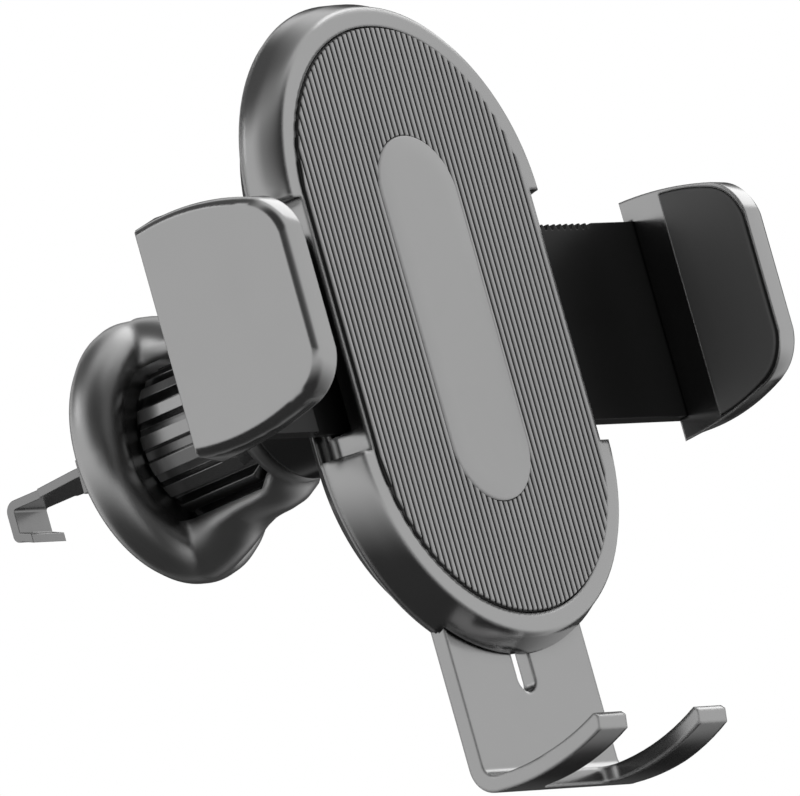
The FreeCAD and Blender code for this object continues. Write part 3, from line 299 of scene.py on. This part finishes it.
def finish(name, colour, roughness, metallic=0.0, edge=0.3, wave_scale=420.0, grain_height=0.0,
           gloss_change=0.05, settings=None):
    """A material whose gloss, tint and surface vary a little over the piece, with painted shade in its
    hollows.
    """
    material = bpy.data.materials.new(name)
    material.use_nodes = True
    board = Board(material.node_tree)
    place = board.add("ShaderNodeTexCoord", out="Object")
    cloud = board.noise(place, wave_scale / CLOUD_COARSENESS, CLOUD_DETAIL) - 0.5
    wave = board.noise(place, wave_scale, WAVE_DETAIL)
    grain = board.noise(place, GRAIN_SCALE, GRAIN_DETAIL)
    height = wave * WAVE_HEIGHT + grain * grain_height
    # Painted shade: the base colour darkens towards a dimmed copy of itself where close surfaces occlude
    # the point.
    shade_occlusion = board.add("ShaderNodeAmbientOcclusion", {"samples": LIGHT_SAMPLES},
                       {"Distance": PAINTED_SHADE_REACH * MM}, out="AO")
    painted_shade_mix = 1 - (1 - board.smooth(shade_occlusion, *PAINTED_SHADE_EDGE)) * PAINTED_SHADE_WEIGHT
    shaded = tuple(part * PAINTED_SHADE_LEVEL for part in colour[:3]) + (1.0,)
    base = board.blend(painted_shade_mix - cloud * TINT_CHANGE, shaded, colour)
    rounded = board.add("ShaderNodeBevel", {"samples": LIGHT_SAMPLES}, {"Radius": edge * MM})
    relief = {"Strength": BUMP_STRENGTH, "Distance": BUMP_DEPTH * MM, "Height": height, "Normal": rounded}
    inputs = {"Base Color": base, "Roughness": roughness + cloud * gloss_change * 2,
              "Metallic": metallic, "Normal": board.add("ShaderNodeBump", {}, relief)}
    inputs.update(settings or {})
    surface = board.add("ShaderNodeBsdfPrincipled", {}, inputs)
    board.add("ShaderNodeOutputMaterial", {}, {"Surface": surface})
    return material


def plating(name, level, roughness, edge):
    """Bright metal on moulded plastic."""
    return finish(name, grey(level), roughness, 1.0, edge)


PLATED = plating("gunmetal_plating", 158, 0.19, 0.45)
COVER_PLATED = plating("cover_plating", 158, 0.16, 0.9)
CLIP_PLATED = plating("clip_plating", 158, 0.31, 1.5)
FOOT_PLATED = plating("foot_plating", 157, 0.17, 0.75)
# The nut's plating is a darker copy of the same metal: painted shade and painted reflection of the head's
# dark back, behind which it sits.
NUT_SHADED_PLATING = plating("nut_plating_painted_shade", 98, 0.17, 0.5)
KNOB_PLATED = plating("knob_plating", 150, 0.24, 0.2)
# The rear cover's plating is a darker copy of the same metal, as painted shade on the head's back.
BACK_SHADED_PLATING = plating("back_plating_painted_shade", 132, 0.20, 0.9)
STEEL = finish("plated_strip", grey(134), 0.22, 1.0, edge=0.2, wave_scale=1800)
BLACK = finish("black_plastic", grey(13), 0.34, edge=0.2, grain_height=0.04,
               settings={"Specular IOR Level": 0.22})
NYLON = finish("white_acetal", grey(222, warmth=0.02), 0.42, edge=0.08, grain_height=0.03)
SCREW = finish("zinc_screw", grey(176), 0.32, 1.0, edge=0.1, gloss_change=0.1)
SILICONE = finish("dark_silicone", grey(66), 0.50, grain_height=0.06)
print("finishes:", len(bpy.data.materials))

# %% [markdown]
# Which finish goes on which solid. The rigid pieces are shown as they were measured, because a
# redrawn copy could only be less exact; they keep their own shapes, and only the slot is filled.

# %% Dress the solids
SOLID_FINISH = {
    "front_cover": COVER_PLATED, "rear_cover": BACK_SHADED_PLATING, "foot": FOOT_PLATED, "clip_body": CLIP_PLATED,
    "socket_nut": NUT_SHADED_PLATING, "left_jaw_shell": PLATED, "right_jaw_shell": PLATED,
    "tightening_knob": KNOB_PLATED, "hook": STEEL, "hook_stem": STEEL,
    "left_arm": BLACK, "right_arm": BLACK, "ball_stud": BLACK, "ball_seat": NYLON,
    "left_pinion": NYLON, "right_pinion": NYLON, "cover_screws": SCREW, "stud_screw": SCREW,
    "left_pinion_pin": SCREW, "right_pinion_pin": SCREW,
}


def dress(node, material):
    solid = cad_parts[node]
    solid.data.materials.clear()
    solid.data.materials.append(material)


for node, material in SOLID_FINISH.items():
    dress(node, material)
print("dressed", len(SOLID_FINISH), "solids")

# %% [markdown]
# The solids arrive as separate patches of small flat faces, so a round form shows its bands in a
# mirror finish. Three modifiers give each solid one even skin without touching its own mesh: the
# patches are joined, real edges are split open by their angle, and the normals between them are
# averaged by face area, so that large flats stay flat and the bands melt together.

# %% Even skins
REAL_EDGE = math.radians(31)
PATCH_GAP = 0.001


def even_skin(node):
    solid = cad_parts[node]
    join = solid.modifiers.new("join_patches", "WELD")
    join.merge_threshold = PATCH_GAP * MM
    split = solid.modifiers.new("open_real_edges", "EDGE_SPLIT")
    split.split_angle = REAL_EDGE
    split.use_edge_sharp = False
    normals = solid.modifiers.new("average_normals", "WEIGHTED_NORMAL")
    normals.mode = "FACE_AREA"


for node in SOLID_FINISH:
    even_skin(node)
print("even skins on", len(SOLID_FINISH), "solids")

# %% [markdown]
# Soft parts are rebuilt, because a moulded silicone part has no sharp edge anywhere. Most of them
# start as rows of points, so one helper turns points and faces into a mesh, and another stands a
# mesh in the scene for the solid that it replaces. Faces that meet at a slight angle are shaded as
# one surface; only a clear crease stays sharp.

# %% From points to a piece
CREASE = math.radians(50)


def mesh_from(name, points, faces):
    """A mesh from points in millimetres, with every face turned outward."""
    mesh = bpy.data.meshes.new(name)
    mesh.from_pydata([tuple(part * MM for part in point) for point in points], [], faces)
    form = bmesh.new()
    form.from_mesh(mesh)
    bmesh.ops.recalc_face_normals(form, faces=form.faces)
    form.to_mesh(mesh)
    form.free()
    return mesh


def stand_for(node, mesh, material, crease=CREASE):
    """The mesh as a smooth piece that takes the place of a solid."""
    mesh.materials.append(material)
    for face in mesh.polygons:
        face.use_smooth = True
    mesh.set_sharp_from_angle(angle=crease)
    made = bpy.data.objects.new(mesh.name, mesh)
    bpy.context.scene.collection.objects.link(made)
    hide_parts(node)
    print(made.name, "has", len(mesh.polygons), "faces")
    return made


print("soft shading up to", round(math.degrees(CREASE)), "degrees")

# %% [markdown]
# The grip pad is one moulding of grey silicone. Its grooves get painted shade: shadow alone does
# not darken them enough at this width, so the colour darkens with the depth below the ribs'
# crowns. Two materials could do it too, but the border would be hard.

# %% Grip pad finish
RIB_CROWN = -0.50
GROOVE_FLOOR = -0.02
GROOVE_SHADE_RAMP = (0.12, 0.75)
GROOVE_PAINTED_SHADE = grey(30)
RIB_GREY = grey(165)
PAD_TINT_CHANGE = 0.05
PAD_ROUGHNESS = 0.46
PAD_GLOSS_CHANGE = 0.12
PAD_CLOUD_SCALE = 260.0
PAD_GRAIN_SCALE = 5200.0
PAD_GRAIN_STRENGTH = 0.35
PAD_GRAIN_DEPTH = 0.02


def pad_finish():
    """Grey silicone with painted shade down in the grooves."""
    material = bpy.data.materials.new("grey_silicone")
    material.use_nodes = True
    board = Board(material.node_tree)
    place = board.add("ShaderNodeTexCoord", out="Object")
    y = board.add("ShaderNodeSeparateXYZ", {}, {0: place}, out="Y")
    front = (HEAD_SHIFT.y + RIB_CROWN) * MM
    depth = (y - front) / ((GROOVE_FLOOR - RIB_CROWN) * MM)
    # Painted shade: the colour goes from the rib grey on the crowns to a near-black grey deep in the
    # grooves, by depth alone.
    crown = 1 - board.smooth(depth, *GROOVE_SHADE_RAMP)
    cloud, grain = (board.noise(place, scale, CLOUD_DETAIL) for scale in (PAD_CLOUD_SCALE, PAD_GRAIN_SCALE))
    base = board.blend(crown - (cloud - 0.5) * PAD_TINT_CHANGE, GROOVE_PAINTED_SHADE, RIB_GREY)
    relief = {"Strength": PAD_GRAIN_STRENGTH, "Distance": PAD_GRAIN_DEPTH * MM, "Height": grain}
    inputs = {"Base Color": base, "Roughness": PAD_ROUGHNESS + (grain - 0.5) * PAD_GLOSS_CHANGE,
              "Normal": board.add("ShaderNodeBump", {}, relief)}
    surface = board.add("ShaderNodeBsdfPrincipled", {}, inputs)
    board.add("ShaderNodeOutputMaterial", {}, {"Surface": surface})
    return material


PAD_SILICONE = pad_finish()
print("pad finish made")

# %% [markdown]
# The pad's form: fine upright ribs round a smooth panel, on a thin plate. The ribs could be a bump
# texture, but their shadowed grooves show at this distance, so each rib is modelled with a rounded
# crown and is cut to the pad's outline at both ends. Plate and panel are stacks of outlines with
# two straight sides and two round ends, each outline drawn in by an inset.

# %% Grip pad
RIB_PITCH = 1.03
RIB_HALF = 0.33
CROWN_HALF = 0.86 * RIB_HALF
CROWN_ROUND = 0.16
CROWN_STEPS = 6
END_LEAN = 0.25
END_GAP = 0.05
PANEL_MARGIN = 0.2
PAD_RADIUS = 23.05
PAD_BACK = 0.88
PANEL_HALF_WIDTH = 7.8
PANEL_HALF_LENGTH = 24.9
PANEL_STRAIGHT = PANEL_HALF_LENGTH - PANEL_HALF_WIDTH
PLATE_LEVELS = [(0.0, PAD_BACK), (0.0, GROOVE_FLOOR + 0.12), (0.12, GROOVE_FLOOR)]
PANEL_LEVELS = [(0.0, GROOVE_FLOOR + 0.1), (0.0, -0.50), (0.10, -0.63), (0.30, -0.70), (3.0, -0.72)]
PLATE_STEPS = 48
PANEL_STEPS = 32


def reach(x, radius, straight):
    """How far up an outline reaches at a distance x from the middle."""
    return straight + math.sqrt(max(radius * radius - x * x, 0.0))


def whole_height(x):
    top = reach(x, PAD_RADIUS - END_GAP, HEAD_STRAIGHT)
    return -top, top


def above_panel(x):
    return reach(x, PANEL_HALF_WIDTH - END_GAP, PANEL_STRAIGHT), whole_height(x)[1]


def below_panel(x):
    low, high = above_panel(x)
    return -high, -low


def rib_section():
    """(offset, y) points over one rib, from groove to groove, with a rounded crown."""
    section = [(-RIB_HALF, GROOVE_FLOOR)]
    for number in range(CROWN_STEPS + 1):
        angle = math.pi * (1 - number / CROWN_STEPS)
        section.append((CROWN_HALF * math.cos(angle), RIB_CROWN + CROWN_ROUND * (1 - math.sin(angle))))
    section.append((RIB_HALF, GROOVE_FLOOR))
    return section


def add_rib(points, faces, x, ends):
    """One rib whose two ends follow the outlines that they meet."""
    section = rib_section()
    start = len(points)
    for offset, y in section:
        bottom, top = ends(x + offset)
        lean = END_LEAN * (y - GROOVE_FLOOR) / (RIB_CROWN - GROOVE_FLOOR)
        points.append((x + offset, y, bottom + lean))
        points.append((x + offset, y, top - lean))
    for number in range(len(section) - 1):
        corner = start + 2 * number
        faces.append((corner, corner + 1, corner + 3, corner + 2))
    faces.append(tuple(start + 2 * number for number in range(len(section))))
    faces.append(tuple(start + 2 * number + 1 for number in reversed(range(len(section)))))


def add_stack(points, faces, radius, straight, levels, steps):
    """Stacked outlines, each drawn in by an inset, closed at the first and the last."""
    rings = []
    for inset, y in levels:
        ring = []
        for number in range(2 * steps + 2):
            half = number // (steps + 1)
            angle = math.pi * half + math.pi * (number - half * (steps + 1)) / steps
            centre = straight if half == 0 else -straight
            ring.append(len(points))
            points.append(((radius - inset) * math.cos(angle), y,
                           centre + (radius - inset) * math.sin(angle)))
        rings.append(ring)
    for lower, upper in zip(rings, rings[1:]):
        for here in range(len(lower)):
            after = (here + 1) % len(lower)
            faces.append((lower[here], lower[after], upper[after], upper[here]))
    faces.append(tuple(rings[0]))
    faces.append(tuple(rings[-1]))


def grip_pad():
    points, faces = [], []
    pitches = int(2 * (PAD_RADIUS - RIB_HALF) / RIB_PITCH)
    for number in range(pitches + 1):
        x = (number - pitches / 2) * RIB_PITCH
        if abs(x) + RIB_HALF < PANEL_HALF_WIDTH + PANEL_MARGIN:
            add_rib(points, faces, x, above_panel)
            add_rib(points, faces, x, below_panel)
        else:
            add_rib(points, faces, x, whole_height)
    add_stack(points, faces, PAD_RADIUS, HEAD_STRAIGHT, PLATE_LEVELS, PLATE_STEPS)
    add_stack(points, faces, PANEL_HALF_WIDTH, PANEL_STRAIGHT, PANEL_LEVELS, PANEL_STEPS)
    shifted = [(x + HEAD_SHIFT.x, y + HEAD_SHIFT.y, z + HEAD_SHIFT.z) for x, y, z in points]
    pad = stand_for("grip_pad", mesh_from("ribbed_grip_pad", shifted, faces), PAD_SILICONE)
    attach(pad, "head")


grip_pad()

# %% [markdown]
# The jaw pads sit in pockets of the plated jaws. Their solids are plain blocks, so the block's mesh
# is copied, cleaned to its true edges and rounded by a bevel. Starting from the solid keeps the fit
# in the pocket, which redrawing the outline by eye would not.

# %% Jaw pads
PAD_ROUNDING = 0.25
ROUNDING_STEPS = 3
SAME_POINT = 0.002
SAME_FLAT = math.radians(1.0)
SHARP_EDGE = math.radians(40)


def rounded_copy(name, node):
    form = bmesh.new()
    form.from_mesh(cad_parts[node].data)
    bmesh.ops.remove_doubles(form, verts=form.verts, dist=SAME_POINT * MM)
    bmesh.ops.dissolve_limit(form, angle_limit=SAME_FLAT, verts=form.verts, edges=form.edges)
    sharp = [edge for edge in form.edges if edge.is_manifold and edge.calc_face_angle(0.0) > SHARP_EDGE]
    bmesh.ops.bevel(form, geom=sharp, offset=PAD_ROUNDING * MM, segments=ROUNDING_STEPS, profile=0.5,
                    affect="EDGES", clamp_overlap=True)
    mesh = bpy.data.meshes.new(name)
    form.to_mesh(mesh)
    form.free()
    return mesh


for side in ("left", "right"):
    node = side + "_jaw_pad"
    pad = stand_for(node, rounded_copy(side + "_silicone_pad", node), SILICONE)
    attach(pad, side + "_jaw")

# %% [markdown]
# The ring that rests on the vent is a rubber moulding with two low beads, so that it seals on uneven
# louvres. Turning a short (radius, y) profile round the clip's axis is the natural way to make it;
# a bent torus would need its flat back cut off again.

# %% Vent ring
RING_PROFILE = [
    (12.85, -1.15), (12.85, -0.35), (13.0, -0.12), (13.3, -0.02), (13.6, -0.12), (13.85, -0.3),
    (14.15, -0.3), (14.4, -0.12), (14.7, -0.02), (15.0, -0.12), (15.15, -0.35), (15.15, -1.15),
]
RING_STEPS = 96


def vent_seal():
    points, faces = [], []
    count = len(RING_PROFILE)
    for step in range(RING_STEPS):
        angle = 2 * math.pi * step / RING_STEPS
        following = (step + 1) % RING_STEPS
        for here, (radius, y) in enumerate(RING_PROFILE):
            after = (here + 1) % count
            points.append((radius * math.cos(angle), y, radius * math.sin(angle)))
            faces.append((step * count + here, following * count + here,
                          following * count + after, step * count + after))
    ring = stand_for("vent_pad", mesh_from("vent_seal", points, faces), SILICONE)
    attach(ring, "clip")


vent_seal()

# %% [markdown]
# Two extension springs pull the foot up. Inside the head they hardly show, but a wound wire is what
# is there, so a helix of wire replaces the plain tube, over the tube's full height between the head
# and the foot. A curve with a bevel would be shorter to write, but a stretched piece must be a
# mesh.

# %% Return springs
SPRING_COIL = 0.92
SPRING_WIRE = 0.17
SPRING_TURNS = 26
TURN_STEPS = 14
WIRE_STEPS = 6
NO_CREASE = math.pi


def return_spring(side):
    node = side + "_return_spring"
    low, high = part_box(node)
    centre = (low + high) / 2 / MM
    bottom, top = low.z / MM, high.z / MM
    points, faces = [], []
    total = SPRING_TURNS * TURN_STEPS
    for step in range(total + 1):
        share = step / total
        angle = 2 * math.pi * SPRING_TURNS * share
        height = bottom + SPRING_WIRE + (top - bottom - 2 * SPRING_WIRE) * share
        middle = Vector((centre.x + SPRING_COIL * math.cos(angle),
                         centre.y + SPRING_COIL * math.sin(angle), height))
        outward = Vector((math.cos(angle), math.sin(angle), 0))
        for number in range(WIRE_STEPS):
            turn = 2 * math.pi * number / WIRE_STEPS
            lift = Vector((0, 0, SPRING_WIRE * math.sin(turn)))
            points.append(middle + outward * (SPRING_WIRE * math.cos(turn)) + lift)
    for step in range(total):
        here, there = step * WIRE_STEPS, (step + 1) * WIRE_STEPS
        for number in range(WIRE_STEPS):
            after = (number + 1) % WIRE_STEPS
            faces.append((here + number, here + after, there + after, there + number))
    faces.append(tuple(range(WIRE_STEPS)))
    faces.append(tuple(total * WIRE_STEPS + number for number in reversed(range(WIRE_STEPS))))
    mesh = mesh_from(side + "_wound_spring", points, faces)
    spring = stand_for(node, mesh, SCREW, NO_CREASE)
    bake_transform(spring)


for side in ("left", "right"):
    return_spring(side)

# %% [markdown]
# Last, the colour management is left plain, so that a colour renders about as it is written.

# %% Finish
bpy.context.scene.view_settings.view_transform = "Standard"
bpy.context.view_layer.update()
